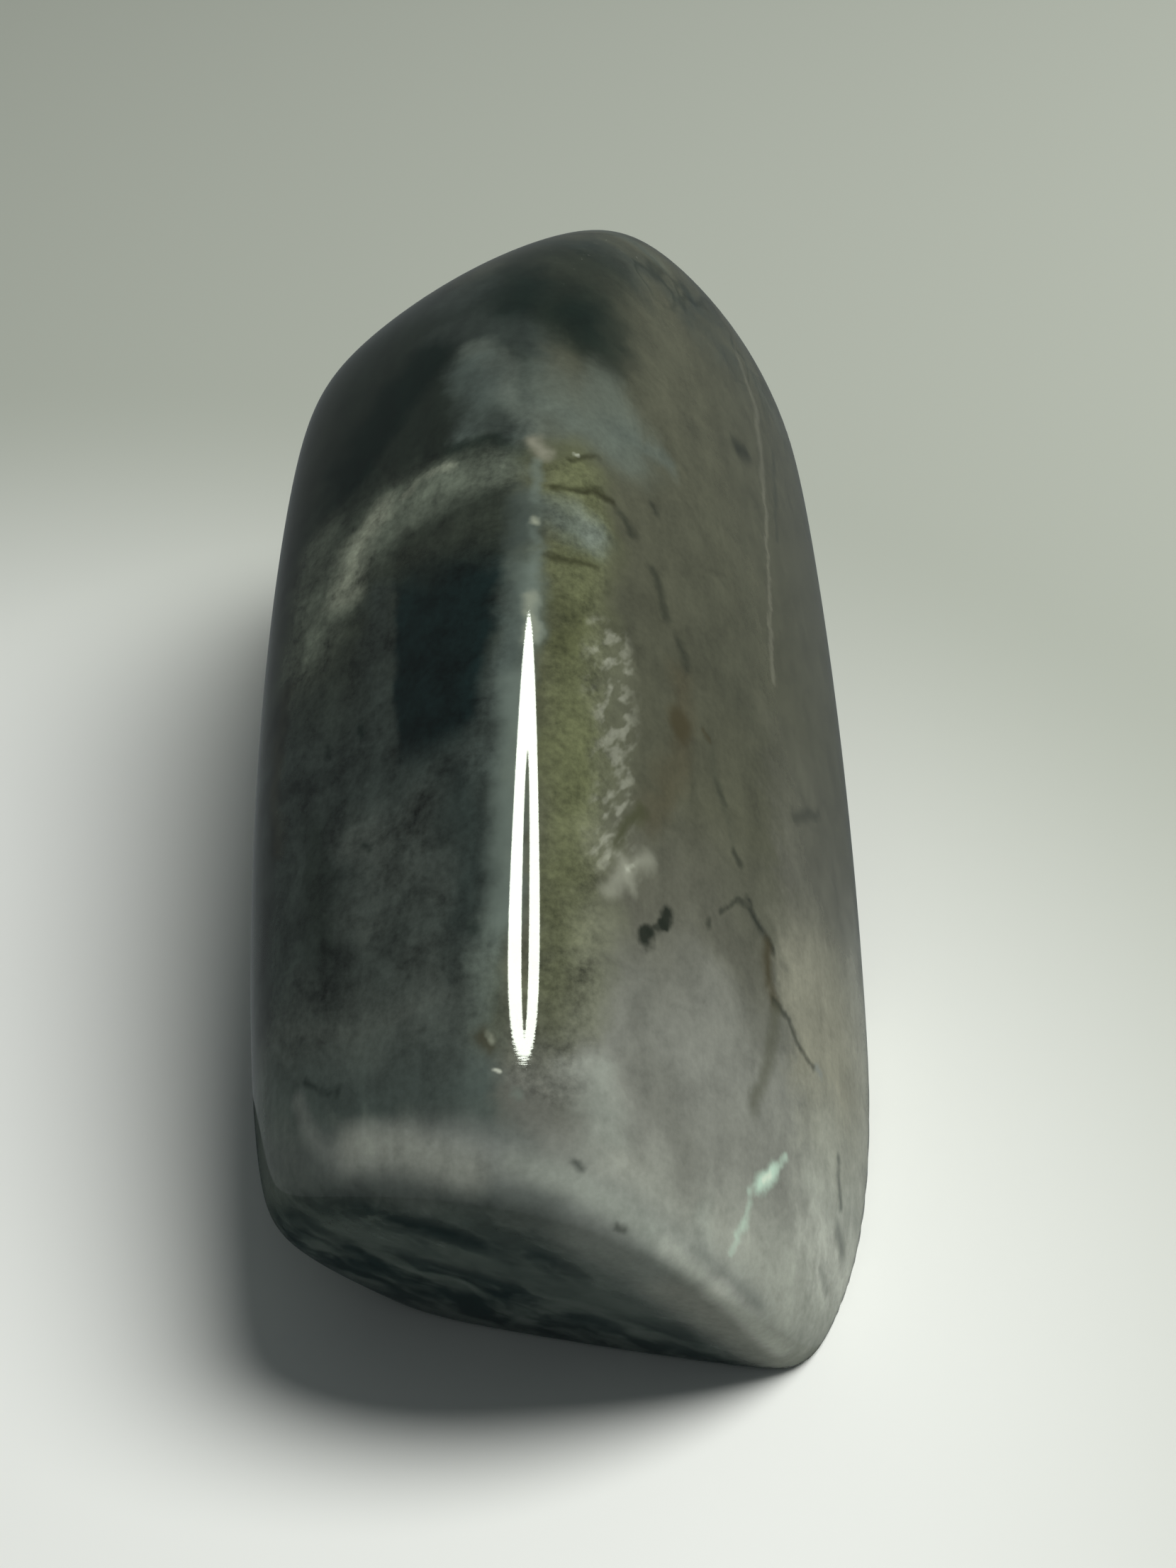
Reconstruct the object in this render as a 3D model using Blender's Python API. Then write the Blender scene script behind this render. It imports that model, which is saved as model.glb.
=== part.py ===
"""Labradorite freeform: one polished stone with soft facets, lying on its flat resting face.

Metres, +Z up. The long axis lies along Y, with the cut base at -Y and the rounded tip at +Y.
The origin is on the ground under the middle of the stone.

The stone is worked out as a lapidary grinds it. Each facet is a plane, or a very large dome, at
a direction and a distance from a point inside the stone. Where two facets meet, the polishing
wheel rounds the edge, which a soft maximum of the two facets gives.
"""
import bmesh
import bpy
import numpy as np
from mathutils import Vector

MM = 0.001

# The point inside the stone that the facets are measured from, mm over the ground
HEART = np.array([0.0, 0.0, 24.0])

# Facet: (azimuth in degrees from +X, elevation in degrees, distance in mm, dome radius in mm)
FACETS = {
    "left_face": (-158, 50, 24.0, 260),
    "right_face": (-14, 39, 15.7, 260),
    "right_side": (-5.5, 20, 17.2, 600),
    "right_front": (-28, 1, 37.2, 300),
    "right_back": (6, -19, 32.0, 200),
    "left_side": (-177, 7, 26.5, 330),
    "left_under": (-163, -44, 38.5, 150),
    "top": (-90, 75, 25.5, 110),
    "top_left": (174, 52, 34.5, 90),
    "top_right": (36, 44, 45.5, 90),
    "tip": (90, 15, 59.0, 80),
    "heel": (90, -65, 33.5, 160),
}

# The base is sawn flat: azimuth and elevation in degrees, distance in mm
CUT_BASE = (-102, -20, 46.6)

# Sharpness of the polished edges, per mm: the higher, the tighter the edge
FACET_SHARPNESS = 0.55

# The sphere that the stone starts from, and how much it is drawn out along each axis
SEGMENTS, RINGS = 68, 48
STRETCH = np.array([1.0, 2.0, 1.0])
LONGEST_REACH = 90.0
HALVINGS = 40

# Points this close to a flat cut, in mm, are laid on it before the cut is made
SNAP = 0.5
CUT_TOLERANCE = 1e-6

STONE_COLOUR = (0.10, 0.11, 0.10, 1.0)
STONE_ROUGHNESS = 0.12


def clear_scene():
    for thing in list(bpy.data.objects):
        bpy.data.objects.remove(thing, do_unlink=True)


def direction(azimuth, elevation):
    """Unit vector at an azimuth from +X and an elevation from the ground, both in degrees."""
    a, e = np.radians(azimuth), np.radians(elevation)
    return np.array([np.cos(a) * np.cos(e), np.sin(a) * np.cos(e), np.sin(e)])


def facet_level(points, facet):
    """Signed distance in mm of points, measured from the heart, over a domed facet."""
    azimuth, elevation, distance, dome = facet
    centre = direction(azimuth, elevation) * (distance - dome)
    return np.linalg.norm(points - centre, axis=1) - dome


def stone_level(points):
    """Soft maximum of all the facets' levels: the log of the sum of their exponentials."""
    levels = np.array([facet_level(points, facet) for facet in FACETS.values()])
    highest = levels.max(axis=0)
    spread = np.exp(FACET_SHARPNESS * (levels - highest)).sum(axis=0)
    return highest + np.log(spread) / FACET_SHARPNESS


def reach(directions):
    """Distance in mm from the heart to the surface along each direction, found by halving."""
    low, high = np.zeros(len(directions)), np.full(len(directions), LONGEST_REACH)
    for _ in range(HALVINGS):
        middle = (low + high) / 2
        inside = stone_level(directions * middle[:, None]) < 0
        low, high = np.where(inside, middle, low), np.where(inside, high, middle)
    return high


def rough_stone():
    """A sphere with its poles on the long axis, its points moved out to the ground facets."""
    mesh = bmesh.new()
    bmesh.ops.create_uvsphere(mesh, u_segments=SEGMENTS, v_segments=RINGS, radius=1.0)
    ball = np.array([(v.co.x, v.co.z, -v.co.y) for v in mesh.verts])
    directions = ball * STRETCH
    directions /= np.linalg.norm(directions, axis=1)[:, None]
    surface = directions * reach(directions)[:, None] + HEART
    for vertex, place in zip(mesh.verts, surface * MM):
        vertex.co = place
    return mesh


def cut_flat(mesh, point, normal):
    """Saw off what lies past a plane, given by a point in metres and its outward normal."""
    for vertex in mesh.verts:
        height = (vertex.co - point).dot(normal)
        if abs(height) < SNAP * MM:
            vertex.co -= normal * height
    everything = mesh.verts[:] + mesh.edges[:] + mesh.faces[:]
    cut = bmesh.ops.bisect_plane(mesh, geom=everything, dist=CUT_TOLERANCE, plane_co=point,
                                 plane_no=normal, clear_outer=True)
    rim = [item for item in cut["geom_cut"] if isinstance(item, bmesh.types.BMEdge)]
    bmesh.ops.holes_fill(mesh, edges=rim, sides=0)


def saw_and_rest(mesh):
    """Cut the base, and then the face that the stone lies on."""
    azimuth, elevation, distance = CUT_BASE
    out = direction(azimuth, elevation)
    cut_flat(mesh, Vector((HEART + out * distance) * MM), Vector(out))
    cut_flat(mesh, Vector((0.0, 0.0, 0.0)), Vector((0.0, 0.0, -1.0)))


def centre_on_origin(mesh):
    places = np.array([v.co for v in mesh.verts])
    middle = (places.min(axis=0) + places.max(axis=0)) / 2
    bmesh.ops.translate(mesh, verts=mesh.verts, vec=(-middle[0], -middle[1], 0.0))


def stone_material():
    material = bpy.data.materials.new("polished_labradorite")
    material.use_nodes = True
    shader = material.node_tree.nodes["Principled BSDF"]
    shader.inputs["Base Color"].default_value = STONE_COLOUR
    shader.inputs["Roughness"].default_value = STONE_ROUGHNESS
    shader.inputs["Metallic"].default_value = 0.0
    return material


def make_stone(collection):
    shape = rough_stone()
    saw_and_rest(shape)
    centre_on_origin(shape)
    bmesh.ops.recalc_face_normals(shape, faces=shape.faces)
    data = bpy.data.meshes.new("labradorite_stone")
    shape.to_mesh(data)
    shape.free()
    data.shade_smooth()
    data.set_sharp_from_angle(angle=np.radians(40))
    data.materials.append(stone_material())
    stone = bpy.data.objects.new("labradorite_stone", data)
    collection.objects.link(stone)
    return stone


def main():
    clear_scene()
    collection = bpy.data.collections.new("labradorite_freeform")
    bpy.context.scene.collection.children.link(collection)
    make_stone(collection)


main()
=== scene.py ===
# %% [markdown]
# # A polished labradorite freeform
#
# Labradorite is a dark feldspar. Lapidaries saw a lump of it, grind a few broad facets on it
# and polish the whole, so that clouds, feathers and cracks inside the stone show through.
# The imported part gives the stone's size and place. This notebook dresses it: a finer surface
# worked out with numpy, and one procedural material that carries all the mineral's marks.

import bpy
import numpy as np
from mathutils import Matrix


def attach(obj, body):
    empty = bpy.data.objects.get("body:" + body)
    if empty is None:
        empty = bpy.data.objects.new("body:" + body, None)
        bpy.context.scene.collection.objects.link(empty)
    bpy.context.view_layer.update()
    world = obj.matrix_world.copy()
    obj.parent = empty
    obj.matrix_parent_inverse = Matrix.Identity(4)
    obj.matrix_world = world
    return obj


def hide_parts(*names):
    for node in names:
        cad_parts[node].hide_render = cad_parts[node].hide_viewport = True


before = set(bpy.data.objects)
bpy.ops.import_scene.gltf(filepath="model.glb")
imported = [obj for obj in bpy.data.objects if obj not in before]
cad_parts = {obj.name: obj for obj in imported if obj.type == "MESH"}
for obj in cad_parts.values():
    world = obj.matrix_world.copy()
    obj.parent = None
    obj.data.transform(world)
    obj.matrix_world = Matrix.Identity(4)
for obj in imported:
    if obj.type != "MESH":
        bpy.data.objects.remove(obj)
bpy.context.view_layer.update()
# Lengths are in mm unless a comment says metres, and MM turns them into Blender's metres
MM = 0.001

# %% [markdown]
# ## The camera
#
# The photograph was taken from close by, looking down at the sawn end of the stone. Its strong
# perspective fixes the distance: the near end looks much larger than the far tip. A camera could
# be aimed by eye, but here the elevation, the distance and the field of view are named, because
# the marks on the stone are placed later by shooting rays from this same camera.

# %% Stand the camera where the photograph was taken
PHOTO_WIDTH, PHOTO_HEIGHT = 1659, 2212
VIEW_ELEVATION = np.radians(40.0)
LONG_SIDE_VIEW = np.radians(40.0)
CAMERA_DISTANCE = 171.0
AIM = np.array([2.1, -9.6, 24.0])
# The sensor's width in mm, and the nearest distance that is drawn, in metres
SENSOR_WIDTH, CLIP_START = 36.0, 0.005

RIGHT = np.array([1.0, 0.0, 0.0])
UP = np.array([0.0, np.sin(VIEW_ELEVATION), np.cos(VIEW_ELEVATION)])
BACK = np.array([0.0, -np.cos(VIEW_ELEVATION), np.sin(VIEW_ELEVATION)])
EYE = AIM + BACK * CAMERA_DISTANCE
FOCAL_PIXELS = PHOTO_HEIGHT / 2 / np.tan(LONG_SIDE_VIEW / 2)

camera_data = bpy.data.cameras.new("camera")
camera_data.sensor_width = SENSOR_WIDTH
camera_data.lens = SENSOR_WIDTH / 2 / np.tan(LONG_SIDE_VIEW / 2)
camera_data.clip_start = CLIP_START
camera = bpy.data.objects.new("camera", camera_data)
camera.location = EYE * MM
camera.rotation_euler = (np.pi / 2 - VIEW_ELEVATION, 0.0, 0.0)
bpy.context.scene.collection.objects.link(camera)
bpy.context.scene.camera = camera
bpy.context.scene.view_settings.view_transform = "Standard"
print("lens", round(camera_data.lens, 1), "mm, eye at", np.round(EYE, 1), "mm")

# %% [markdown]
# ## The stone's surface
#
# The real stone was ground facet by facet on a wheel, and the wheel left every facet slightly
# domed and every edge rounded. Box modelling with bevels could copy that, but each change to a
# facet would mean moving many points by hand. Here each facet is a very large sphere, given by a
# direction, a distance and a dome radius, and the stone is where the soft maximum of all the
# facets' distances is zero. The soft maximum, the log of a sum of exponentials, rounds the edges
# just as polishing does.

# %% The facets, as directions and distances from the heart of the stone
HEART = np.array([2.1, -3.6, 24.0])
# Azimuth and elevation in degrees, distance and dome radius in mm
FACETS = {
    "left_face": (-158, 50, 24.0, 260),
    "right_face": (-14, 39, 15.7, 260),
    "right_side": (-5.5, 20, 16.8, 600),
    "right_front": (-27, 2, 37.4, 260),
    "right_back": (8, -21, 30.5, 800),
    "left_side": (-177, 7, 26.5, 330),
    "left_under": (-163, -44, 38.5, 150),
    "top": (-90, 75, 25.5, 110),
    "top_left": (174, 52, 34.5, 90),
    "top_right": (36, 44, 45.5, 90),
    "tip": (90, 15, 59.0, 80),
    "heel": (90, -65, 33.5, 160),
}
SAWN_BASE = (-102, -20, 47.0, 400)
FACET_SHARPNESS, BASE_SHARPNESS, REST_SHARPNESS = 0.55, 0.9, 3.0


def facing(azimuth, elevation):
    """Unit vector: cosine and sine of the azimuth, flattened by the elevation's cosine."""
    a, e = np.radians(azimuth), np.radians(elevation)
    return np.array([np.cos(a) * np.cos(e), np.sin(a) * np.cos(e), np.sin(e)])


def facet_level(points, facet):
    """Distance from the dome's centre less the dome's radius: below zero is inside."""
    azimuth, elevation, distance, dome = facet
    centre = HEART + facing(azimuth, elevation) * (distance - dome)
    return np.linalg.norm(points - centre, axis=-1) - dome


def soft_maximum(levels, sharpness):
    """Log of the sum of the exponentials of sharpness times level, over sharpness."""
    highest = np.max(levels, axis=0)
    return highest + np.log(np.exp(sharpness * (levels - highest)).sum(axis=0)) / sharpness


def stone_level(points):
    """Soft maximum of the facets, met more tightly by the sawn base and then by the ground."""
    body = soft_maximum(np.array([facet_level(points, f) for f in FACETS.values()]), FACET_SHARPNESS)
    sawn = soft_maximum(np.array([body, facet_level(points, SAWN_BASE)]), BASE_SHARPNESS)
    return soft_maximum(np.array([sawn, -points[..., 2]]), REST_SHARPNESS)


print(len(FACETS) + 2, "facets; level at the heart", stone_level(HEART[None]).round(1), "mm")

# %% [markdown]
# ## A grid of points on the stone
#
# The surface is a function of two parameters, like longitude and latitude, with the poles on the
# long axis. A ray leaves the heart for each pair, and halving finds where it crosses the surface.
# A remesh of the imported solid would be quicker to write, but it would keep the solid's flat
# triangles, and a polished stone shows every one of them in its reflections.

# %% Shoot the grid's rays and join the points into a closed mesh
AROUND, ALONG = 440, 226
DRAWN_OUT = np.array([1.0, 2.0, 1.0])
FARTHEST, HALVINGS = 90.0, 26


def crossing(starts, rays, near, far):
    """Halve the span between a near and a far distance until it closes on the surface."""
    near, far = np.full(len(rays), near, float), np.full(len(rays), far, float)
    outside = stone_level(starts + rays * near[:, None]) > 0
    for _ in range(HALVINGS):
        middle = (near + far) / 2
        same = (stone_level(starts + rays * middle[:, None]) > 0) == outside
        near, far = np.where(same, middle, near), np.where(same, far, middle)
    return starts + rays * far[:, None]


def stone_points():
    """Longitude runs round the long axis and latitude from the base pole to the tip pole."""
    longitude, latitude = np.meshgrid(np.arange(AROUND) * 2 * np.pi / AROUND,
                                      np.linspace(-np.pi / 2, np.pi / 2, ALONG)[1:-1])
    ball = np.stack([np.cos(latitude) * np.cos(longitude), np.sin(latitude),
                     -np.cos(latitude) * np.sin(longitude)], axis=-1).reshape(-1, 3)
    ball = np.vstack([ball, [(0.0, -1.0, 0.0), (0.0, 1.0, 0.0)]]) * DRAWN_OUT
    rays = ball / np.linalg.norm(ball, axis=1)[:, None]
    return crossing(HEART, rays, 0.0, FARTHEST)


def grid_faces():
    """Quads between neighbouring rings, and a fan of triangles that closes each pole."""
    rings = ALONG - 2
    here = np.arange(AROUND)
    after = np.roll(here, -1)
    row = np.arange(rings - 1)[:, None] * AROUND
    quads = np.stack([row + here, row + after, row + AROUND + after, row + AROUND + here], -1)
    base_pole, tip_pole, last = rings * AROUND, rings * AROUND + 1, (rings - 1) * AROUND
    base_fan = np.stack([np.full(AROUND, base_pole), after, here], -1)
    tip_fan = np.stack([np.full(AROUND, tip_pole), last + here, last + after], -1)
    return quads.reshape(-1, 4).tolist() + base_fan.tolist() + tip_fan.tolist()


points = stone_points()
stone_mesh = bpy.data.meshes.new("polished_stone")
stone_mesh.from_pydata(points * MM, [], grid_faces())
stone_mesh.shade_smooth()
stone = bpy.data.objects.new("polished_stone", stone_mesh)
bpy.context.scene.collection.objects.link(stone)
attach(stone, "root")
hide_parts("labradorite_stone")
print(len(points), "points; box", points.min(axis=0).round(2), points.max(axis=0).round(2), "mm")

# %% [markdown]
# ## Placing marks by what the camera sees
#
# A crack or a cloud is easiest to find in the photograph, where it has a pixel. One helper turns
# a pixel into a place on the stone: it walks a ray from the eye until the ray enters the stone,
# and then halves the last step. The marks are three-dimensional from then on, so they stay where
# they are when the camera moves.

# %% Find the place on the stone under a pixel
NEAREST_LOOK, FARTHEST_LOOK, LOOKS = 90.0, 260.0, 120
PIXELS_PER_MM = 17.8
STAR, RIDGE_TOP = (759, 634), (741, 1190)


def where_seen(pixels):
    """First crossing of each pixel's ray with the stone, or its closest approach to the stone."""
    pixels = np.array(pixels, float)
    rays = ((pixels[:, :1] - PHOTO_WIDTH / 2) * RIGHT - (pixels[:, 1:] - PHOTO_HEIGHT / 2) * UP
            - FOCAL_PIXELS * BACK)
    rays /= np.linalg.norm(rays, axis=1)[:, None]
    looks = np.linspace(NEAREST_LOOK, FARTHEST_LOOK, LOOKS)
    levels = stone_level(EYE + rays[:, None] * looks[None, :, None])
    hits = (levels < 0).any(axis=1)
    first = np.where(hits, (levels < 0).argmax(axis=1), levels.argmin(axis=1))
    closest = EYE + rays * looks[first][:, None]
    crossed = crossing(EYE, rays, looks[np.maximum(first - 1, 0)], looks[first])
    return np.where(hits[:, None], crossed, closest)


print("the star of the ridges lies at", where_seen([STAR]).round(1)[0], "mm")

# %% [markdown]
# ## Soft light from one overhead lamp
#
# One broad soft lamp hangs over the stone, well to the right, so the shadow falls to the left
# with a wide soft border, and a weak sky fills it. The lamp itself shows only as a long
# double line of light on the rounded ridge. That line is the reflection of a lamp whose middle
# is dark, so a glossy-only ring stands in for the lamp's face: it lights nothing, and only
# reflections see it. Its far end is narrower, which makes the line of light end in a point.
# A second card, dark and oval, lies on the floor in the same way. The sawn base reflects it as
# it would reflect the paper in the stone's own shadow, so the base stays dark.

# %% The sky and the lamp that casts the shadow
SKY_COLOUR, SKY_STRENGTH = (0.90, 1.0, 1.0, 1.0), 0.115
LAMP_HEIGHT, LAMP_PLACE, LAMP_SIZE, LAMP_ENERGY = 640.0, (386.0, 18.0), (680.0, 288.0), 6.45
LAMP_COLOUR = (1.0, 1.0, 0.965)

world = bpy.data.worlds.new("studio")
world.use_nodes = True
world.node_tree.nodes["Background"].inputs["Color"].default_value = SKY_COLOUR
world.node_tree.nodes["Background"].inputs["Strength"].default_value = SKY_STRENGTH
bpy.context.scene.world = world

key_data = bpy.data.lights.new("key", "AREA")
key_data.shape = "ELLIPSE"
key_data.size, key_data.size_y = (side * MM for side in LAMP_SIZE)
key_data.energy = LAMP_ENERGY
key_data.color = LAMP_COLOUR
key = bpy.data.objects.new("key", key_data)
key.location = (LAMP_PLACE[0] * MM, LAMP_PLACE[1] * MM, LAMP_HEIGHT * MM)
key.visible_glossy = False
bpy.context.scene.collection.objects.link(key)
print("the key lamp hangs", LAMP_HEIGHT, "mm above the floor")

# %% The lamp's face and the shaded paper, seen in reflections alone
RING_PLACE = (-19.0, -45.0)
RING_OUTER, RING_INNER, RING_INNER_PLACE = (148.0, 246.0), (38.0, 154.0), (4.0, -56.0)
RING_GLOW, RING_TAPER, RING_COLOUR = 22.0, 0.30, (0.93, 1.0, 0.88, 1.0)
SHADED_PLACE, SHADED_SIZE, SHADED_LIFT = (-13.0, -62.0), (35.0, 44.0), (0.0, 0.0, 0.1)
SHADED_GLOW, SHADED_COLOUR = 0.02, (0.8, 1.0, 1.0, 1.0)
BLACK = (0.0, 0.0, 0.0, 1.0)


def oval(size, place, taper, steps=96):
    """Ellipse a cos t, b sin t whose width shrinks by taper times sin t towards its far end."""
    t = np.linspace(0.0, 2 * np.pi, steps, endpoint=False)
    width = size[0] * np.cos(t) * (1.0 - taper * np.sin(t))
    return np.stack([width + place[0], size[1] * np.sin(t) + place[1], 0.0 * t], axis=-1)


def glossy_card(name, points, faces, colour, strength):
    """A glowing sheet that only glossy rays see, so that it draws a reflection and no more."""
    mesh = bpy.data.meshes.new(name)
    mesh.from_pydata(points * MM, [], faces)
    card = bpy.data.objects.new(name, mesh)
    bpy.context.scene.collection.objects.link(card)
    material = bpy.data.materials.new(name)
    material.use_nodes = True
    shader = material.node_tree.nodes["Principled BSDF"]
    shader.inputs["Base Color"].default_value = BLACK
    shader.inputs["Specular IOR Level"].default_value = 0.0
    shader.inputs["Emission Color"].default_value = colour
    shader.inputs["Emission Strength"].default_value = strength
    mesh.materials.append(material)
    card.visible_camera = card.visible_diffuse = card.visible_shadow = False
    card.visible_transmission = False


ridge_top = where_seen([RIDGE_TOP])[0]
centre = np.array([ridge_top[0] + RING_PLACE[0], ridge_top[1] + RING_PLACE[1], LAMP_HEIGHT])
outer, inner = oval(RING_OUTER, (0.0, 0.0), RING_TAPER), oval(RING_INNER, RING_INNER_PLACE, 0.0)
edge = np.arange(len(outer))
beyond = np.roll(edge, -1)
band = np.stack([edge, edge + len(outer), beyond + len(outer), beyond], axis=-1).tolist()
glossy_card("lamp_face", np.vstack([outer, inner]) + centre, band, RING_COLOUR, RING_GLOW)
shaded = oval(SHADED_SIZE, SHADED_PLACE, 0.0)
glossy_card("shaded_paper", shaded + SHADED_LIFT, [edge.tolist()], SHADED_COLOUR, SHADED_GLOW)
print("the ring of light is centred at", centre.round(), "mm")

# %% [markdown]
# ## The floor
#
# The stone stands on plain white paper. The paper is brightest just in front of the stone, and
# it falls to a greenish grey far behind it. A lamp with a narrow beam could do that, but it
# would also darken the tip of the stone, so a pool of light is painted into the floor's colour
# instead: the colour fades with distance from its brightest spot.
# Reflections don't see the floor, because its glare on the lower rims would wash them out.

# %% Lay the floor
# Metres: half the floor's width, the centre of the painted pool of light, and where its fade begins
# and ends
FLOOR_HALF = 3.0
NEAR_WHITE, FAR_GREY = (0.845, 0.86, 0.84, 1.0), (0.42, 0.445, 0.395, 1.0)
LIGHT_POOL_CENTRE, FADE_FROM, FADE_TO = (-0.063, -0.066, 0.0), 0.070, 0.165

floor_mesh = bpy.data.meshes.new("floor")
corners = [(-FLOOR_HALF, -FLOOR_HALF, 0), (FLOOR_HALF, -FLOOR_HALF, 0),
           (FLOOR_HALF, FLOOR_HALF, 0), (-FLOOR_HALF, FLOOR_HALF, 0)]
floor_mesh.from_pydata(corners, [], [(0, 1, 2, 3)])
floor = bpy.data.objects.new("floor", floor_mesh)
bpy.context.scene.collection.objects.link(floor)
floor.visible_glossy = False
print("floor laid,", 2 * FLOOR_HALF, "m wide")

# %% [markdown]
# ## Shader maths in plain expressions
#
# Every mark below is a sum of distances, noises and fades. Linking Math nodes one by one hides
# such a formula, so a small class wraps a socket and turns Python's operators into Math nodes.
# Colours and directions keep to Mix and Vector Math nodes, because a Math node would turn a
# colour grey. Everything else comes from one method that takes a node's type, its settings and
# what goes into its sockets.

# %% A value in a material, and the recipe that makes nodes
class Value:
    """A socket with operators: a sum, product or difference of values adds a Math node."""

    def __init__(self, recipe, socket):
        self.recipe = recipe
        self.socket = socket

    def maths(self, operation, first, second=0.0):
        """Add a Math node for one operation on one or two values."""
        return self.recipe.node("ShaderNodeMath", {"operation": operation}, {0: first, 1: second})

    def __add__(self, other):
        return self.maths("ADD", self, other)

    def __radd__(self, other):
        return self.maths("ADD", other, self)

    def __sub__(self, other):
        return self.maths("SUBTRACT", self, other)

    def __rsub__(self, other):
        return self.maths("SUBTRACT", other, self)

    def __mul__(self, other):
        return self.maths("MULTIPLY", self, other)

    def __rmul__(self, other):
        return self.maths("MULTIPLY", other, self)

    def size(self):
        return self.maths("ABSOLUTE", self)

    def least(self, other):
        return self.maths("MINIMUM", self, other)

    def most(self, other):
        return self.maths("MAXIMUM", self, other)

    def fade(self, start, end, most=1.0):
        """Nought at start, most at end, with a smooth step between them."""
        return self.recipe.node("ShaderNodeMapRange", {"interpolation_type": "SMOOTHSTEP"},
                                {"Value": self, "From Min": start, "From Max": end, "To Max": most})


class Recipe:
    """A material in the making: constants go on its shader, and node() adds the rest."""

    def __init__(self, name, **constants):
        self.material = bpy.data.materials.new(name)
        self.material.use_nodes = True
        self.tree = self.material.node_tree
        self.shader = self.tree.nodes["Principled BSDF"]
        for socket, value in constants.items():
            self.shader.inputs[socket.replace("_", " ")].default_value = value

    def node(self, kind, settings=None, sockets=None, output=0):
        """Add a node: its settings first, then a value or a link for each socket named."""
        made = self.tree.nodes.new(kind)
        for name, value in (settings or {}).items():
            if name == "stops":
                self.set_stops(made.color_ramp, value)
            else:
                setattr(made, name, value)
        for key, value in (sockets or {}).items():
            if isinstance(value, Value):
                self.tree.links.new(value.socket, made.inputs[key])
            else:
                made.inputs[key].default_value = value
        return Value(self, made.outputs[output])

    def set_stops(self, ramp, stops):
        """Give a colour ramp its stops, each a position and a colour, from low to high."""
        ramp.elements[0].position, ramp.elements[1].position = stops[0][0], stops[-1][0]
        ramp.elements[0].color, ramp.elements[1].color = stops[0][1], stops[-1][1]
        for position, colour in stops[1:-1]:
            ramp.elements.new(position).color = colour

    def vector(self, operation, first, second=(0.0, 0.0, 0.0), third=(0.0, 0.0, 0.0), output=0):
        """Vector Math; its output Value is the number that a distance or a dot product gives."""
        return self.node("ShaderNodeVectorMath", {"operation": operation},
                         {0: first, 1: second, 2: third}, output)

    def noise(self, place, scale, detail=4.0, roughness=0.55, distortion=0.0):
        """Cloudy noise between nought and one; scale is in cycles per mm."""
        return self.node("ShaderNodeTexNoise", {}, {
            "Vector": place, "Scale": scale, "Detail": detail, "Roughness": roughness,
            "Distortion": distortion})

    def mix(self, amount, under, over, blend="MIX"):
        """Lay one colour over another by an amount: sockets 6 and 7 take a Mix node's colours."""
        return self.node("ShaderNodeMix", {"data_type": "RGBA", "blend_type": blend},
                         {0: amount, 6: under, 7: over}, 2)

    def feed(self, socket, value):
        """Link a value to one of the shader's own sockets."""
        self.tree.links.new(value.socket, self.shader.inputs[socket])


print("shader maths ready")

# %% Colour the floor's paper, with its painted pool of light
paper = Recipe("paper", Roughness=1.0, Specular_IOR_Level=0.0)
spot = paper.node("ShaderNodeTexCoord", output="Object")
distance = paper.vector("DISTANCE", spot, LIGHT_POOL_CENTRE, output="Value")
paper.feed("Base Color", paper.mix(distance.fade(FADE_FROM, FADE_TO), NEAR_WHITE, FAR_GREY))
floor_mesh.materials.append(paper.material)
print("paper fades from", FADE_FROM, "to", FADE_TO, "m from its brightest spot")

# %% [markdown]
# ## Colours of the mineral
#
# A renderer wants the share of light that a surface gives back, not the colour on a screen. The
# shares below were worked out by comparing a plain grey stone under this same lamp with the
# photograph at a few dozen spots, and each one is named for the part of the mineral it belongs
# to, or for the painted light it stands for. Nearly all are dark and close to grey, with a little
# more green than red: the stone gets its life from their small differences.

# %% Name the colours, as shares of red, green and blue light
INK = (0.003, 0.010, 0.007, 1.0)
BLUE_BLACK = (0.004, 0.012, 0.012, 1.0)
DEEP_GREEN = (0.016, 0.023, 0.017, 1.0)
MOSS_BLACK = (0.030, 0.037, 0.027, 1.0)
SLATE = (0.038, 0.049, 0.043, 1.0)
SLATE_PALE = (0.078, 0.091, 0.079, 1.0)
SMOKE = (0.078, 0.100, 0.089, 1.0)
FOG = (0.107, 0.130, 0.110, 1.0)
FOG_PALE = (0.175, 0.205, 0.175, 1.0)
# Painted reflection: the glow around the lamp's reflection on the front ridge
PAINTED_RIDGE_GLOW = (0.165, 0.205, 0.178, 1.0)
BAND_GREY = (0.125, 0.146, 0.112, 1.0)
BAND_PALE = (0.320, 0.345, 0.265, 1.0)
UMBER = (0.050, 0.052, 0.036, 1.0)
OLIVE = (0.100, 0.110, 0.055, 1.0)
OLIVE_DEEP = (0.050, 0.055, 0.024, 1.0)
OLIVE_PALE = (0.150, 0.158, 0.110, 1.0)
OLIVE_LINE = (0.018, 0.018, 0.006, 1.0)
WARM = (0.083, 0.085, 0.057, 1.0)
WARM_DEEP = (0.072, 0.074, 0.050, 1.0)
WARM_GREY = (0.113, 0.114, 0.090, 1.0)
MAUVE = (0.150, 0.155, 0.133, 1.0)
ASH = (0.220, 0.227, 0.200, 1.0)
ASH_PALE = (0.285, 0.310, 0.272, 1.0)
STRAW = (0.260, 0.258, 0.200, 1.0)
# Pale grey of the lower right corner: partly its own colour, partly painted light of the lower rims
# and the crest
CORNER = (0.350, 0.368, 0.320, 1.0)
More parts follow.
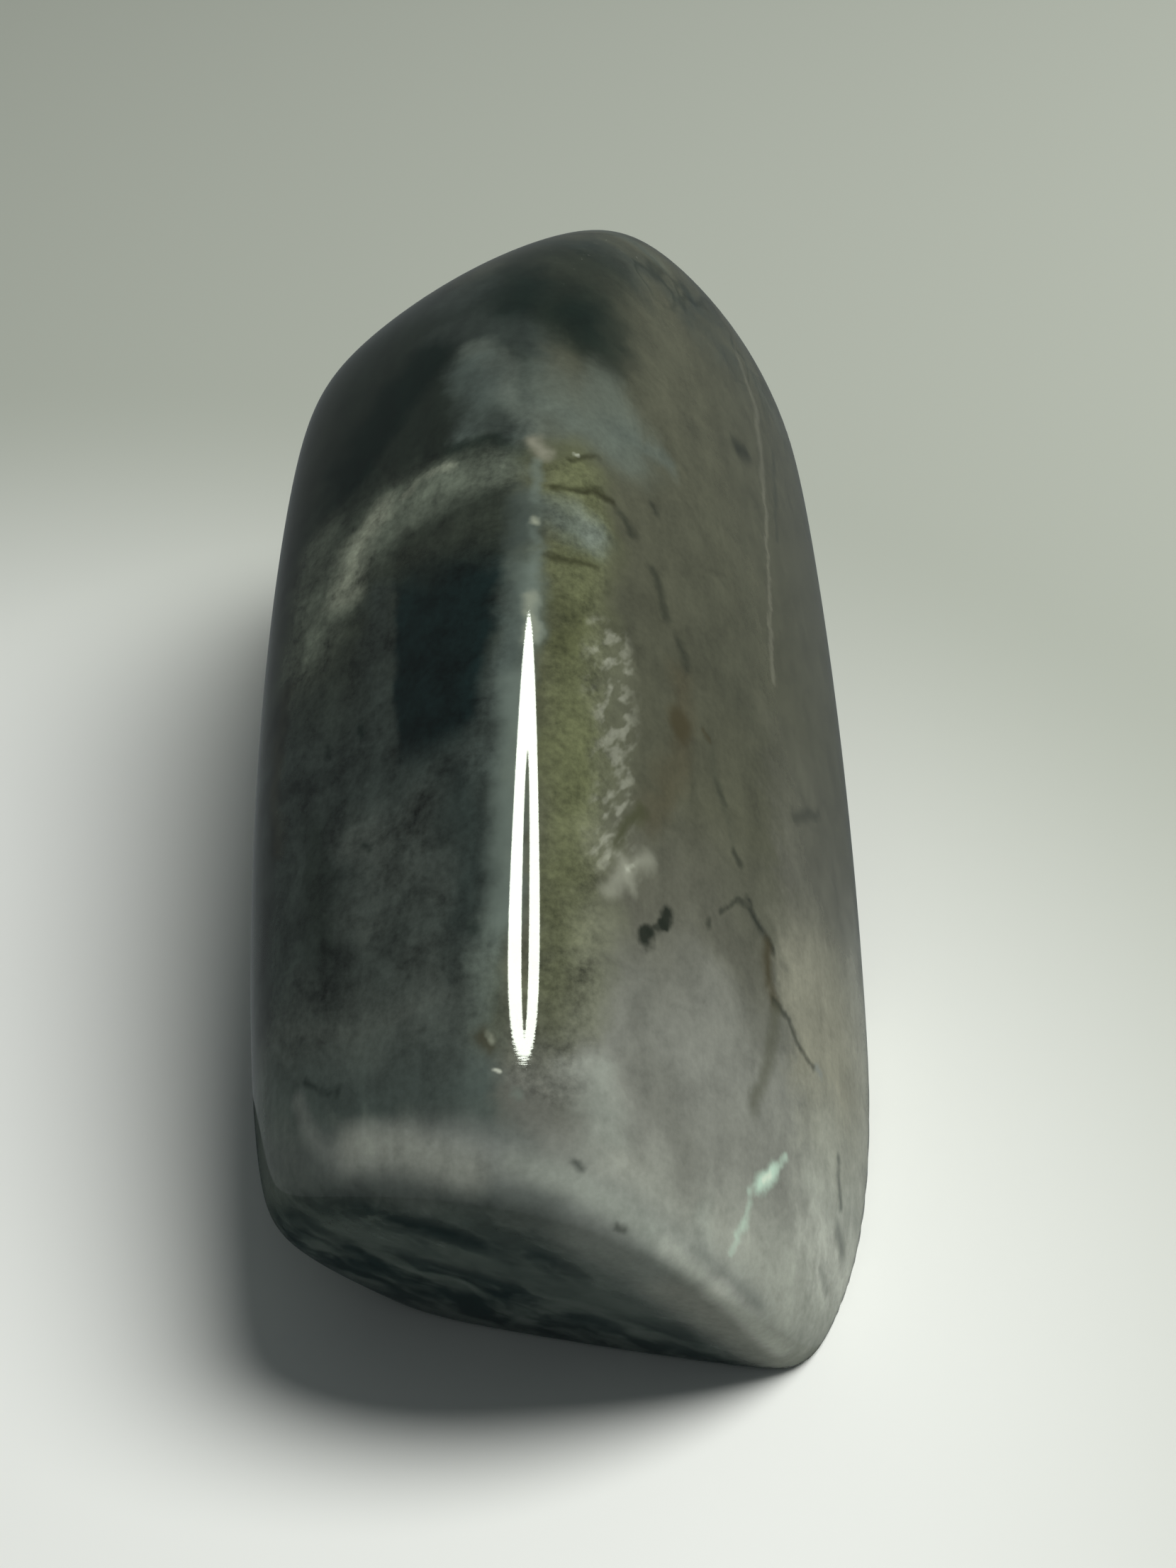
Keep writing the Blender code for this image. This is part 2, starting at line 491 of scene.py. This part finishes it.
# Painted light: the reflection of the lit floor on the lower right rim, also laid on the bevel's
# crest
PAINTED_EDGE_LIGHT = (0.560, 0.580, 0.515, 1.0)
FEATHER = (0.330, 0.340, 0.275, 1.0)
BROWN = (0.052, 0.044, 0.021, 1.0)
RUST = (0.070, 0.062, 0.036, 1.0)
SOOT = (0.014, 0.018, 0.012, 1.0)
# CREST and BEVEL: painted light of the rounded bevel where the base meets the faces. CREST also marks
# one small pale spot on the right strip, and BEVEL also lightens the base towards its top and right
CREST = (0.225, 0.243, 0.222, 1.0)
BEVEL = (0.125, 0.141, 0.130, 1.0)
SAWN = (0.008, 0.018, 0.018, 1.0)
SAWN_WISP = (0.078, 0.096, 0.086, 1.0)
# Painted sheen: the mineral's blue-green flash, painted in as fixed colour
PAINTED_FLASH = (0.520, 0.690, 0.570, 1.0)
# Painted glints: small bright points where the polish catches the lamp
PAINTED_GLINT = (0.720, 0.760, 0.640, 1.0)
print("from ink", INK[:3], "to spark", PAINTED_GLINT[:3])

# %% [markdown]
# ## Places on the stone, in the frame of its front ridge
#
# The grain of the mineral runs along the front ridge, which climbs towards the tip at 25
# degrees. Painting in the object's own axes would cut across that grain, so one Mapping node
# turns the coordinates until the second one runs up the ridge, and measures them in mm. Borders
# in a mineral wander, so most marks read a place that soft noise has shifted a little.

# %% Turn coordinates into the ridge's frame
RIDGE_SLOPE = np.radians(25.0)


def ridge_frame(points):
    """Turn points about X: along = y cos s + z sin s, and over = z cos s - y sin s."""
    x, y, z = np.moveaxis(np.asarray(points, float), -1, 0)
    along = y * np.cos(RIDGE_SLOPE) + z * np.sin(RIDGE_SLOPE)
    over = z * np.cos(RIDGE_SLOPE) - y * np.sin(RIDGE_SLOPE)
    return np.stack([x, along, over], axis=-1)


finish = Recipe("polished_labradorite", Roughness=0.04, IOR=1.56)
place = finish.node("ShaderNodeTexCoord", output="Object")
place = finish.node("ShaderNodeMapping", {}, {
    "Vector": place, "Rotation": (-RIDGE_SLOPE, 0.0, 0.0), "Scale": (1 / MM, 1 / MM, 1 / MM)})
print("ridge frame of the heart:", ridge_frame(HEART).round(1), "mm")


# %% Let places wander, and measure how near they are to a mark
def wander(place, scale, reach, detail=2.0):
    """Shift a place by up to about reach mm, so that straight marks grow natural borders."""
    drift = finish.node("ShaderNodeTexNoise", {"normalize": False}, {
        "Vector": place, "Scale": scale, "Detail": detail, "Roughness": 0.55}, "Color")
    return finish.vector("MULTIPLY_ADD", drift, (reach, reach, reach), place)


soft_place = wander(place, scale=0.09, reach=1.7)
soft_place = wander(soft_place, scale=0.42, reach=0.55, detail=3.0)
crisp_place = wander(place, scale=0.40, reach=0.45, detail=3.0)


def nearness(place, pixels):
    """Distance in mm to the run of straight pieces that joins the places under some pixels."""
    spots = ridge_frame(where_seen(pixels))
    if len(spots) == 1:
        return finish.vector("DISTANCE", place, tuple(spots[0]), output="Value")
    nearest = None
    for start, end in zip(spots[:-1], spots[1:]):
        span = end - start
        offset = finish.vector("SUBTRACT", place, tuple(start))
        share = finish.vector("DOT_PRODUCT", offset, tuple(span / (span @ span)), output="Value")
        share = finish.node("ShaderNodeClamp", {}, {"Value": share})
        foot = finish.node("ShaderNodeVectorMath", {"operation": "SCALE"}, {0: tuple(span), 3: share})
        gap = finish.vector("DISTANCE", offset, foot, output="Value")
        nearest = gap if nearest is None else nearest.least(gap)
    return nearest


def cleavage(place, start, end, inside):
    """Signed mm from the plane through two seen places and the heart, positive on the inside."""
    start, end, inside = ridge_frame(where_seen([start, end, inside]))
    heart = ridge_frame(HEART)
    normal = np.cross(end - start, heart - start)
    normal *= np.sign((inside - heart) @ normal) / np.linalg.norm(normal)
    return finish.vector("DOT_PRODUCT", place, tuple(normal), output="Value") - float(normal @ heart)


def lay(colour, marks, place):
    """Paint marks in turn: colour, half width in pixels, softness, strength, pixels."""
    for paint, half_width, softness, strength, pixels in marks:
        half = half_width / PIXELS_PER_MM
        mask = nearness(place, pixels).fade(half * (1 + softness), half * (1 - softness), strength)
        colour = finish.mix(mask, colour, paint)
    return colour


print(len(finish.tree.nodes), "nodes so far")

# %% [markdown]
# ## The body of the stone
#
# Seen from any side the stone is a dark feldspar with soft clouds. On the left of the front
# ridge it is slate grey, on the right a warm grey that pales towards the base, and the sawn base
# is nearly black. One could unwrap the stone and paint a picture, but a picture has seams and
# one fixed size, while these clouds are solid noise and run right through the stone.

# %% Solid noise at three sizes, and long streaks
STREAK_STRETCH = (1.0, 0.10, 1.0)
clouds = finish.noise(place, scale=0.075, roughness=0.5, distortion=0.5)
mottle = finish.noise(soft_place, scale=0.30)
grain = finish.noise(place, scale=1.7, roughness=0.65)
long_place = finish.vector("MULTIPLY", place, STREAK_STRETCH)
streaks = finish.noise(long_place, scale=0.45, detail=3.0)
colour = finish.mix(clouds.fade(0.36, 0.66), SLATE, WARM)
print("clouds, mottle, grain and streaks")

# %% The left face and the right face
RIDGE_X, RIDGE_SOFTNESS = -2.2, 1.5
LENGTH_LOW, LENGTH_HIGH = -42.0, 52.0
TIP_FROM, TIP_TO = 40.0, 50.0

across = finish.node("ShaderNodeSeparateXYZ", {}, {"Vector": soft_place}, "X")
along = finish.node("ShaderNodeSeparateXYZ", {}, {"Vector": soft_place}, "Y")
over = finish.node("ShaderNodeSeparateXYZ", {}, {"Vector": place}, "Z")
tip = along.fade(TIP_FROM, TIP_TO)
left = across.fade(RIDGE_X + RIDGE_SOFTNESS, RIDGE_X - RIDGE_SOFTNESS)
left = left * over.fade(2.0, 12.0) * (1.0 - tip)
right = across.fade(RIDGE_X - RIDGE_SOFTNESS, RIDGE_X + RIDGE_SOFTNESS) * (1.0 - tip)
length = (along - LENGTH_LOW) * (1 / (LENGTH_HIGH - LENGTH_LOW))


def along_ramp(stops):
    """Colour ramp over the length of the stone, with its stops given in mm along the ridge."""
    shares = [((mm - LENGTH_LOW) / (LENGTH_HIGH - LENGTH_LOW), paint) for mm, paint in stops]
    return finish.node("ShaderNodeValToRGB", {"stops": shares}, {"Fac": length})


left_ramp = along_ramp([
    (-34.0, FOG), (-29.5, SMOKE), (-24.0, SLATE_PALE), (-19.0, SLATE),
    (-2.0, SLATE), (6.0, MOSS_BLACK), (26.0, DEEP_GREEN)])
right_ramp = along_ramp([
    (-38.0, CORNER), (-32.0, ASH), (-26.0, ASH), (-17.0, WARM_GREY),
    (-6.0, WARM), (6.0, WARM_DEEP), (20.0, WARM), (44.0, WARM)])
colour = finish.mix(left, colour, left_ramp)
colour = finish.mix(right * over.fade(-8.0, 10.0, 0.95), colour, right_ramp)
print("two faces painted along the ridge")

# %% The strip beyond the right ridge, found by its own facet's level, with painted reflection along its lower rim
STRIP_FROM, STRIP_TO = -2.2, -1.0


def facet_mark(facet, place):
    """The facet's own formula as nodes: distance from its dome's centre less the dome's radius."""
    azimuth, elevation, distance, dome = facet
    centre = ridge_frame(HEART + facing(azimuth, elevation) * (distance - dome))
    return finish.vector("DISTANCE", place, tuple(centre), output="Value") - dome


strip = facet_mark(FACETS["right_side"], crisp_place).fade(STRIP_FROM, STRIP_TO)
# Paler towards the base: partly the strip's own colour, partly painted reflection of the lit floor
strip_ramp = along_ramp([
    (-38.0, PAINTED_EDGE_LIGHT), (-32.0, CORNER), (-22.0, STRAW), (-15.0, STRAW),
    (-8.0, WARM_GREY), (8.0, WARM), (44.0, WARM)])
# Painted reflection of the lit floor, strongest near the strip's lower rim at the front
painted_rim_reflection = over.fade(22.0, 8.0, 0.45) * along.fade(0.0, -14.0)
strip_ramp = finish.mix(painted_rim_reflection, strip_ramp, PAINTED_EDGE_LIGHT)
colour = finish.mix(strip * over.fade(-14.0, 4.0, 0.95), colour, strip_ramp)
print("strip painted")

# %% [markdown]
# ## Clouds and bands inside the faces
#
# The large marks come first: black-green clouds at the top, the pale curved band that crosses
# the left face, the blue-black window under it, the olive zone beside the ridge. Each is a thick
# soft stroke through a few places named by their pixels in the photograph, because that is where
# they can be read off, and the noise in the place gives each one its wandering border.

# %% Clouds and bands
# Each row: colour, half width in pixels, softness, strength, and the pixels the stroke joins
CLOUDS = [
    # the top
    (INK, 50, 1.0, 0.7, [(735, 440), (830, 465)]),
    (INK, 80, 0.9, 0.85, [(700, 395), (750, 400), (815, 420)]),
    (INK, 56, 1.0, 0.75, [(824, 450), (850, 500)]),
    (INK, 60, 1.0, 0.7, [(770, 356), (836, 372)]),
    (SLATE, 44, 0.9, 0.8, [(560, 450), (650, 420)]),
    (SLATE, 44, 0.9, 0.75, [(640, 470), (735, 480)]),
    (WARM, 46, 0.8, 0.9, [(940, 430), (985, 540)]),
    (FOG, 62, 1.0, 0.85, [(728, 552), (800, 575), (870, 608)]),
    (FOG_PALE, 20, 1.0, 0.45, [(668, 495), (700, 550), (740, 600)]),
    (FOG, 34, 1.0, 0.5, [(850, 540), (885, 640)]),
    (UMBER, 26, 0.9, 0.5, [(968, 600), (976, 640)]),
    # the dark upper part of the left face, with its pale wedge
    (INK, 50, 0.5, 0.95, [(598, 515), (560, 560), (520, 610), (480, 670)]),
    (MOSS_BLACK, 44, 0.9, 0.7, [(470, 545), (430, 660), (405, 760)]),
    (SMOKE, 26, 0.8, 0.75, [(655, 520), (668, 560), (662, 600)]),
    (SLATE, 24, 0.9, 0.8, [(700, 590), (738, 625)]),
    (INK, 12, 0.9, 0.8, [(625, 640), (660, 626), (700, 620), (742, 640)]),
    # the pale curved band and what lies under it
    (BAND_GREY, 40, 0.9, 0.9, [(712, 662), (630, 680), (575, 705)]),
    (BAND_GREY, 54, 0.9, 0.9, [(552, 722), (505, 780), (460, 860), (430, 930)]),
    (BAND_GREY, 30, 1.0, 0.6, [(452, 760), (425, 860)]),
    (BAND_PALE, 26, 1.0, 0.65, [(530, 728), (508, 765), (486, 838)]),
    (BAND_PALE, 9, 1.0, 0.5, [(574, 692), (600, 668), (640, 658)]),
    (SLATE, 26, 0.9, 0.8, [(530, 850), (528, 920), (526, 1010)]),
    (SMOKE, 26, 1.0, 0.8, [(735, 800), (715, 900), (700, 985)]),
    # the lower part of the left face
    (DEEP_GREEN, 30, 0.9, 0.6, [(455, 1180), (465, 1330)]),
    (UMBER, 16, 0.9, 0.7, [(400, 1000), (395, 1200)]),
    (SLATE_PALE, 34, 1.0, 0.75, [(520, 1160), (545, 1240), (525, 1300)]),
    (SLATE_PALE, 30, 1.0, 0.5, [(585, 1150), (600, 1230), (590, 1320)]),
    (BLUE_BLACK, 26, 0.9, 0.35, [(645, 1110), (655, 1200), (660, 1390)]),
    (SMOKE, 18, 1.0, 0.7, [(662, 1085), (712, 1092)]),
    # Painted reflection: the glow of the long highlight, just to its left
    (FOG, 28, 0.7, 0.85, [(706, 1300), (697, 1440)]),
    (SMOKE, 34, 0.8, 0.8, [(455, 1560), (520, 1590), (600, 1600), (700, 1600)]),
    (FOG_PALE, 15, 1.0, 0.7, [(530, 1590), (560, 1618), (595, 1570)]),
    (FOG_PALE, 10, 1.0, 0.5, [(470, 1580), (510, 1620)]),
    # Painted light at the lower-left end of the rounded crest
    (FOG_PALE, 42, 1.0, 0.85, [(362, 1560), (372, 1630), (420, 1650)]),
    # the olive zone to the right of the ridge
    (OLIVE, 50, 0.9, 0.95, [(815, 660), (815, 860), (808, 1080)]),
    (OLIVE, 44, 1.0, 0.9, [(808, 1080), (798, 1300), (786, 1420)]),
    (OLIVE_DEEP, 26, 0.9, 0.7, [(790, 860), (800, 900)]),
    (UMBER, 34, 1.0, 0.45, [(788, 1430), (800, 1540)]),
    (OLIVE_PALE, 30, 0.9, 0.45, [(862, 930), (868, 1060), (855, 1180)]),
    (OLIVE_PALE, 30, 0.9, 0.6, [(845, 1280), (832, 1420)]),
    (FOG, 28, 0.9, 0.85, [(780, 728), (826, 745)]),
    (FOG_PALE, 16, 1.0, 0.35, [(812, 712), (835, 752)]),
    (FOG, 15, 1.0, 0.7, [(878, 610), (915, 640), (945, 668)]),
    # the right face
    (RUST, 28, 0.9, 0.6, [(960, 960), (955, 1080), (925, 1150)]),
    (MAUVE, 34, 1.0, 0.6, [(900, 1400), (915, 1500), (960, 1620)]),
    (ASH, 50, 1.0, 0.5, [(990, 1390), (1010, 1500)]),
    (ASH_PALE, 30, 0.9, 0.8, [(846, 1520), (850, 1600)]),
    (ASH_PALE, 20, 1.0, 0.6, [(1000, 1700), (1010, 1780)]),
]
colour = lay(colour, CLOUDS, soft_place)
print(len(CLOUDS), "clouds and bands;", len(finish.tree.nodes), "nodes")

# %% The window: a blue-black cloud that cleavage planes cut off straight
LEFT_BORDER, TOP_BORDER = ((561, 720), (558, 1000)), ((561, 822), (700, 776))
RIGHT_BORDER, MID_WINDOW = ((729, 731), (683, 938)), (640, 860)
BRIM_RUN, WINDOW_RUN = [(700, 742), (600, 776)], [(636, 872), (612, 930)]

cut = cleavage(crisp_place, *LEFT_BORDER, MID_WINDOW).fade(-0.4, 0.5)
brim = nearness(soft_place, BRIM_RUN).fade(4.0, 1.6, 0.9)
colour = finish.mix(brim * cut, colour, MOSS_BLACK)
window = nearness(crisp_place, WINDOW_RUN).fade(9.4, 6.0, 0.95) * cut
window = window * cleavage(soft_place, *TOP_BORDER, MID_WINDOW).fade(-3.4, 2.8)
window = window * cleavage(crisp_place, *RIGHT_BORDER, MID_WINDOW).fade(-1.0, 0.8)
colour = finish.mix(window, colour, BLUE_BLACK)
print("window cut")

# %% Veins and pale flecks on the sides that the photograph does not show
hidden = over.fade(14.0, -2.0).most(tip)
veins = (finish.noise(soft_place, scale=0.10, detail=2.0, roughness=0.5) - 0.5).size()
colour = finish.mix(hidden * veins.fade(0.035, 0.0, 0.4), colour, INK)
colour = finish.mix(hidden * clouds.fade(0.56, 0.74, 0.5), colour, FOG)
colour = finish.mix(hidden * grain.fade(0.66, 0.76, 0.5), colour, ASH)
print("hidden sides veined")

# %% Pale feathers that rise to the right beside the olive zone
FEATHER_RISE, FEATHER_STRETCH = np.radians(52.0), (3.0, 1.0, 1.6)
FEATHER_RUN = [(858, 900), (872, 1060), (866, 1190)]

feather_place = finish.node("ShaderNodeMapping", {"vector_type": "TEXTURE"}, {
    "Vector": place, "Rotation": (0.0, 0.0, FEATHER_RISE), "Scale": FEATHER_STRETCH})
feathers = finish.noise(feather_place, scale=1.15, detail=2.0, roughness=0.5)
feather_zone = nearness(soft_place, FEATHER_RUN).fade(2.9, 0.4, 0.65)
colour = finish.mix(feather_zone * feathers.fade(0.47, 0.66), colour, FEATHER)
print("feathers rise at", round(float(np.degrees(FEATHER_RISE))), "degrees")

# %% [markdown]
# ## The sawn base
#
# The saw and the wheel left the base as its own facet, darker than the faces. It is painted
# lighter towards its top and its right, and where it meets the faces a pale bevel and a crest
# line are painted light of the rounded edge. Its mask is the same formula that shapes it, the
# distance from its dome less the dome's radius, so the colour ends exactly where the facet does.

# %% Paint the base, and painted light on its bevel
BLOTCH_TURN, BLOTCH_STRETCH = np.radians(38.0), (2.0, 1.0, 1.0)
base_level = facet_mark(SAWN_BASE, place)
slanted = finish.node("ShaderNodeMapping", {"vector_type": "TEXTURE"}, {
    "Vector": soft_place, "Rotation": (0.0, BLOTCH_TURN, 0.0), "Scale": BLOTCH_STRETCH})
blotches = finish.noise(slanted, scale=0.40, detail=3.0, roughness=0.5)
sawn_colour = finish.mix(blotches.fade(0.36, 0.68), SAWN, SAWN_WISP)
sawn_pale = across.fade(-4.0, 17.0, 0.8) * over.fade(18.0, 36.0)
sawn_colour = finish.mix(sawn_pale, sawn_colour, BEVEL)
sawn = base_level.fade(-2.6, -0.5)
colour = finish.mix(sawn, colour, sawn_colour)
# Pale wisps in the base, then painted light of the rounded bevel: a pale band and a lighter crest
# line, pale down to the bottom right corner
WISPS_AND_PAINTED_BEVEL_LIGHT = [
    (SAWN_WISP, 44, 1.0, 0.6, [(470, 1726), (600, 1762), (740, 1798), (880, 1846)]),
    (BEVEL, 50, 1.0, 0.9, [(600, 1656), (700, 1666), (800, 1718), (900, 1788), (980, 1846)]),
    (CREST, 42, 1.0, 0.85, [(850, 1735), (930, 1786), (1010, 1846), (1090, 1908)]),
    (BEVEL, 34, 1.0, 0.9, [(380, 1640), (470, 1640), (600, 1656)]),
    (CREST, 11, 1.0, 0.6, [(420, 1555), (436, 1600), (458, 1625), (490, 1642)]),
    (CREST, 25, 1.0, 0.9, [(490, 1628), (576, 1618), (650, 1618), (712, 1636)]),
    (CORNER, 22, 1.0, 0.75, [(500, 1618), (560, 1620), (610, 1636), (660, 1652)]),
    (SAWN_WISP, 24, 1.0, 0.5, [(640, 1718), (720, 1752)]),
    (ASH, 34, 1.0, 0.85, [(960, 1822), (1040, 1880), (1112, 1924)]),
    (CORNER, 34, 1.0, 0.8, [(1100, 1856), (1128, 1908)]),
    (ASH_PALE, 15, 1.0, 0.8, [(726, 1640), (813, 1672), (907, 1732), (984, 1798)]),
    (PAINTED_EDGE_LIGHT, 12, 1.0, 0.35, [(940, 1760), (984, 1798), (1020, 1828)]),
    (PAINTED_EDGE_LIGHT, 12, 1.0, 0.6, [(1010, 1820), (1049, 1855), (1104, 1908)]),
]
colour = lay(colour, WISPS_AND_PAINTED_BEVEL_LIGHT, place)
print("base painted by its facet's own level")

# %% [markdown]
# ## Texture
#
# Up close the left face is mottled, the olive zone is full of fine fibres, and the right face is
# almost smooth. The same three noises, mottle, grain and streaks, make all of this: they
# brighten and darken the colour by an amount that depends on the zone. Multiplying keeps black
# clouds black, as in the stone.

# %% Mottle the faces
OLIVE_RUN = [(815, 680), (812, 1000), (790, 1480)]
DARKEST_SHADE = 0.2

olive_zone = nearness(soft_place, OLIVE_RUN).fade(3.6, 1.6)
rough_left = left * along.fade(27.0, 19.0) * along.fade(-32.0, -20.0)
mottling = (0.8 + 1.8 * rough_left + 1.0 * olive_zone) * (1.0 - 0.6 * sawn)
graining = 0.45 + 0.9 * rough_left + 1.1 * olive_zone
streaking = 0.35 + 0.5 * left
shade = 1.0 + (mottle - 0.5) * mottling + (grain - 0.5) * graining + (streaks - 0.5) * streaking
colour = finish.mix(1.0, colour, shade.most(DARKEST_SHADE), "MULTIPLY")
print("mottled")

# %% [markdown]
# ## Cracks, specks and feathers
#
# The small marks are what makes this stone this one: a crack down the right face with brown
# stain in it, two dark specks that touch, a star of pale feathers, and near the base the two
# blue-green flashes that give the mineral its fame, painted in as a fixed sheen. Painted light is
# among them too: the glow of the lamp's reflection along the front ridge, a painted reflection
# along the right ridge, and a few painted glints. They are thin strokes with crisp borders.

# %% Small marks
MARKS = [
    # Painted reflection: the glow of the lamp's reflection on the front ridge, above and beside the
    # long highlight
    (SMOKE, 19, 1.0, 0.65, [(741, 700), (736, 860), (722, 1000)]),
    (PAINTED_RIDGE_GLOW, 7, 1.0, 0.5, [(757, 650), (753, 900)]),
    (PAINTED_RIDGE_GLOW, 15, 1.0, 0.55, [(751, 810), (746, 900)]),
    (PAINTED_RIDGE_GLOW, 18, 1.0, 0.8, [(728, 960), (718, 1110), (711, 1300)]),
    (BAND_PALE, 9, 1.0, 0.6, [(750, 840), (747, 900)]),
    (BAND_PALE, 5, 1.0, 0.8, [(756, 730), (757, 738)]),
    (STRAW, 11, 1.0, 0.8, [(757, 622), (768, 640)]),
    # a painted glint
    (PAINTED_GLINT, 3.5, 0.8, 0.6, [(810, 640), (818, 643)]),
    (OLIVE_LINE, 6, 1.0, 0.75, [(780, 684), (812, 690), (847, 694), (866, 706)]),
    (OLIVE_LINE, 6, 1.0, 0.6, [(770, 785), (805, 794), (838, 797)]),
    (OLIVE_LINE, 5, 1.0, 0.6, [(806, 650), (846, 646)]),
    (SOOT, 8, 1.0, 0.6, [(872, 718), (893, 752)]),
    (SOOT, 7, 1.0, 0.55, [(920, 712), (926, 724)]),
    (SOOT, 9, 1.0, 0.6, [(919, 802), (932, 840), (942, 872)]),
    (SOOT, 10, 1.0, 0.5, [(959, 908), (969, 940)]),
    (MOSS_BLACK, 9, 1.0, 0.22, [(1000, 1040), (1012, 1100), (1030, 1180)]),
    (SOOT, 17, 1.0, 0.75, [(1042, 634), (1051, 638)]),
    (BROWN, 19, 0.6, 0.8, [(954, 1014), (962, 1026)]),
    (BROWN, 6, 0.9, 0.6, [(992, 1032), (1000, 1044)]),
    (OLIVE_DEEP, 10, 1.0, 0.7, [(868, 1194), (880, 1172), (905, 1148)]),
    (SOOT, 6, 1.0, 0.4, [(1012, 1100), (1022, 1132)]),
    (SOOT, 7, 0.9, 0.6, [(1036, 1200), (1043, 1215)]),
    (SOOT, 4, 1.0, 0.6, [(1018, 1284), (1037, 1270), (1058, 1272)]),
    (SOOT, 7, 1.0, 0.8, [(1056, 1270), (1068, 1304), (1082, 1330), (1090, 1342)]),
    (BROWN, 12, 1.0, 0.85, [(1083, 1340), (1084, 1380), (1092, 1412)]),
    (SOOT, 6, 1.0, 0.7, [(1092, 1412), (1112, 1438), (1124, 1473), (1148, 1508)]),
    (WARM, 12, 1.0, 0.6, [(1094, 1424), (1086, 1490), (1064, 1560)]),
    (SOOT, 12, 0.5, 0.95, [(911, 1324), (914, 1322)]),
    (SOOT, 10, 0.5, 0.95, [(936, 1306), (943, 1290)]),
    (SOOT, 7, 0.7, 0.8, [(920, 1318), (936, 1306)]),
    (SOOT, 6, 0.9, 0.55, [(1000, 1300), (1000, 1306)]),
    (SOOT, 8, 1.0, 0.5, [(1119, 1154), (1155, 1148)]),
    # Painted reflection: a pale line of light along the rounded right ridge
    (STRAW, 8, 1.0, 0.3, [(1040, 500), (1066, 577), (1076, 680)]),
    (STRAW, 6, 1.0, 0.35, [(1078, 690), (1082, 770), (1086, 860), (1090, 960)]),
    (MOSS_BLACK, 7, 1.0, 0.5, [(1090, 640), (1096, 760)]),
    (CREST, 7, 0.9, 0.8, [(1152, 1508), (1158, 1518)]),
    (SLATE, 8, 1.0, 0.6, [(1183, 1636), (1185, 1700)]),
    (SLATE, 14, 1.0, 0.55, [(1182, 1740), (1188, 1762)]),
    (SLATE, 10, 1.0, 0.45, [(1160, 1800), (1164, 1818)]),
    (FEATHER, 11, 1.0, 0.5, [(856, 1250), (882, 1232), (914, 1214)]),
    (FEATHER, 8, 1.0, 0.4, [(872, 1208), (882, 1230), (890, 1252)]),
    # a painted glint in the middle of the star
    (PAINTED_GLINT, 4, 1.0, 0.4, [(884, 1228), (890, 1226)]),
    # The blue-green flashes near the base: painted sheen, with a painted glint in the brighter one
    (PAINTED_FLASH, 6, 1.0, 0.55, [(1108, 1638), (1060, 1684)]),
    (PAINTED_FLASH, 9, 1.0, 0.9, [(1092, 1654), (1072, 1672)]),
    (PAINTED_GLINT, 4, 1.0, 0.6, [(1086, 1660), (1078, 1667)]),
    (PAINTED_FLASH, 5, 1.0, 0.35, [(1060, 1700), (1046, 1736), (1031, 1770)]),
    (PAINTED_FLASH, 7, 1.0, 0.6, [(1049, 1728), (1043, 1744)]),
    (BROWN, 10, 0.9, 0.7, [(680, 1468), (694, 1478)]),
    (BAND_PALE, 4, 1.0, 0.7, [(690, 1462), (696, 1470)]),
    # a painted glint
    (PAINTED_GLINT, 3.5, 0.9, 0.8, [(700, 1513), (705, 1516)]),
    (FOG_PALE, 5, 1.0, 0.7, [(729, 1542), (733, 1545)]),
    (INK, 6, 1.0, 0.7, [(510, 1026), (513, 1034)]),
    (INK, 6, 1.0, 0.6, [(463, 1056), (461, 1068)]),
    (INK, 6, 1.0, 0.6, [(514, 1196), (520, 1200)]),
    (INK, 7, 1.0, 0.6, [(660, 1305), (664, 1312)]),
    (INK, 5, 1.0, 0.6, [(430, 1524), (478, 1541)]),
    (INK, 5, 1.0, 0.6, [(812, 1646), (818, 1652)]),
    (SOOT, 5, 1.0, 0.6, [(874, 1730), (880, 1736)]),
]
colour = lay(colour, MARKS, crisp_place)
finish.feed("Base Color", colour)
print(len(MARKS), "small marks;", len(finish.tree.nodes), "nodes")

# %% [markdown]
# ## The polish
#
# The wheel left a glassy polish with hair-fine scratches, which show only where the lamp's
# reflection crosses them. Real geometry would need millions of faces for that, so a faint bump
# tilts the surface instead, and a cloudy roughness dulls it here and there.

# %% Roughness and bump of the polish
SMOOTHEST, DULLEST = 0.02, 0.055
SCRATCH_STRETCH, SCRATCH_STRENGTH = (0.35, 2.2, 1.0), 0.006
# Metres, because a Bump node measures in Blender's own unit
SCRATCH_DEPTH = 0.0004
cloudiness = clouds * 0.4 + grain * 0.6
roughness = finish.node("ShaderNodeMapRange", {}, {
    "Value": cloudiness, "From Min": 0.3, "From Max": 0.7, "To Min": SMOOTHEST, "To Max": DULLEST})
finish.feed("Roughness", roughness)
scratch_place = finish.vector("MULTIPLY", place, SCRATCH_STRETCH)
scratches = finish.noise(scratch_place, scale=1.6, detail=2.0, roughness=0.6, distortion=0.8)
bump = finish.node("ShaderNodeBump", {}, {
    "Strength": SCRATCH_STRENGTH, "Distance": SCRATCH_DEPTH, "Height": scratches})
finish.feed("Normal", bump)
stone_mesh.materials.append(finish.material)
print(len(finish.tree.nodes), "nodes in the stone's finish")
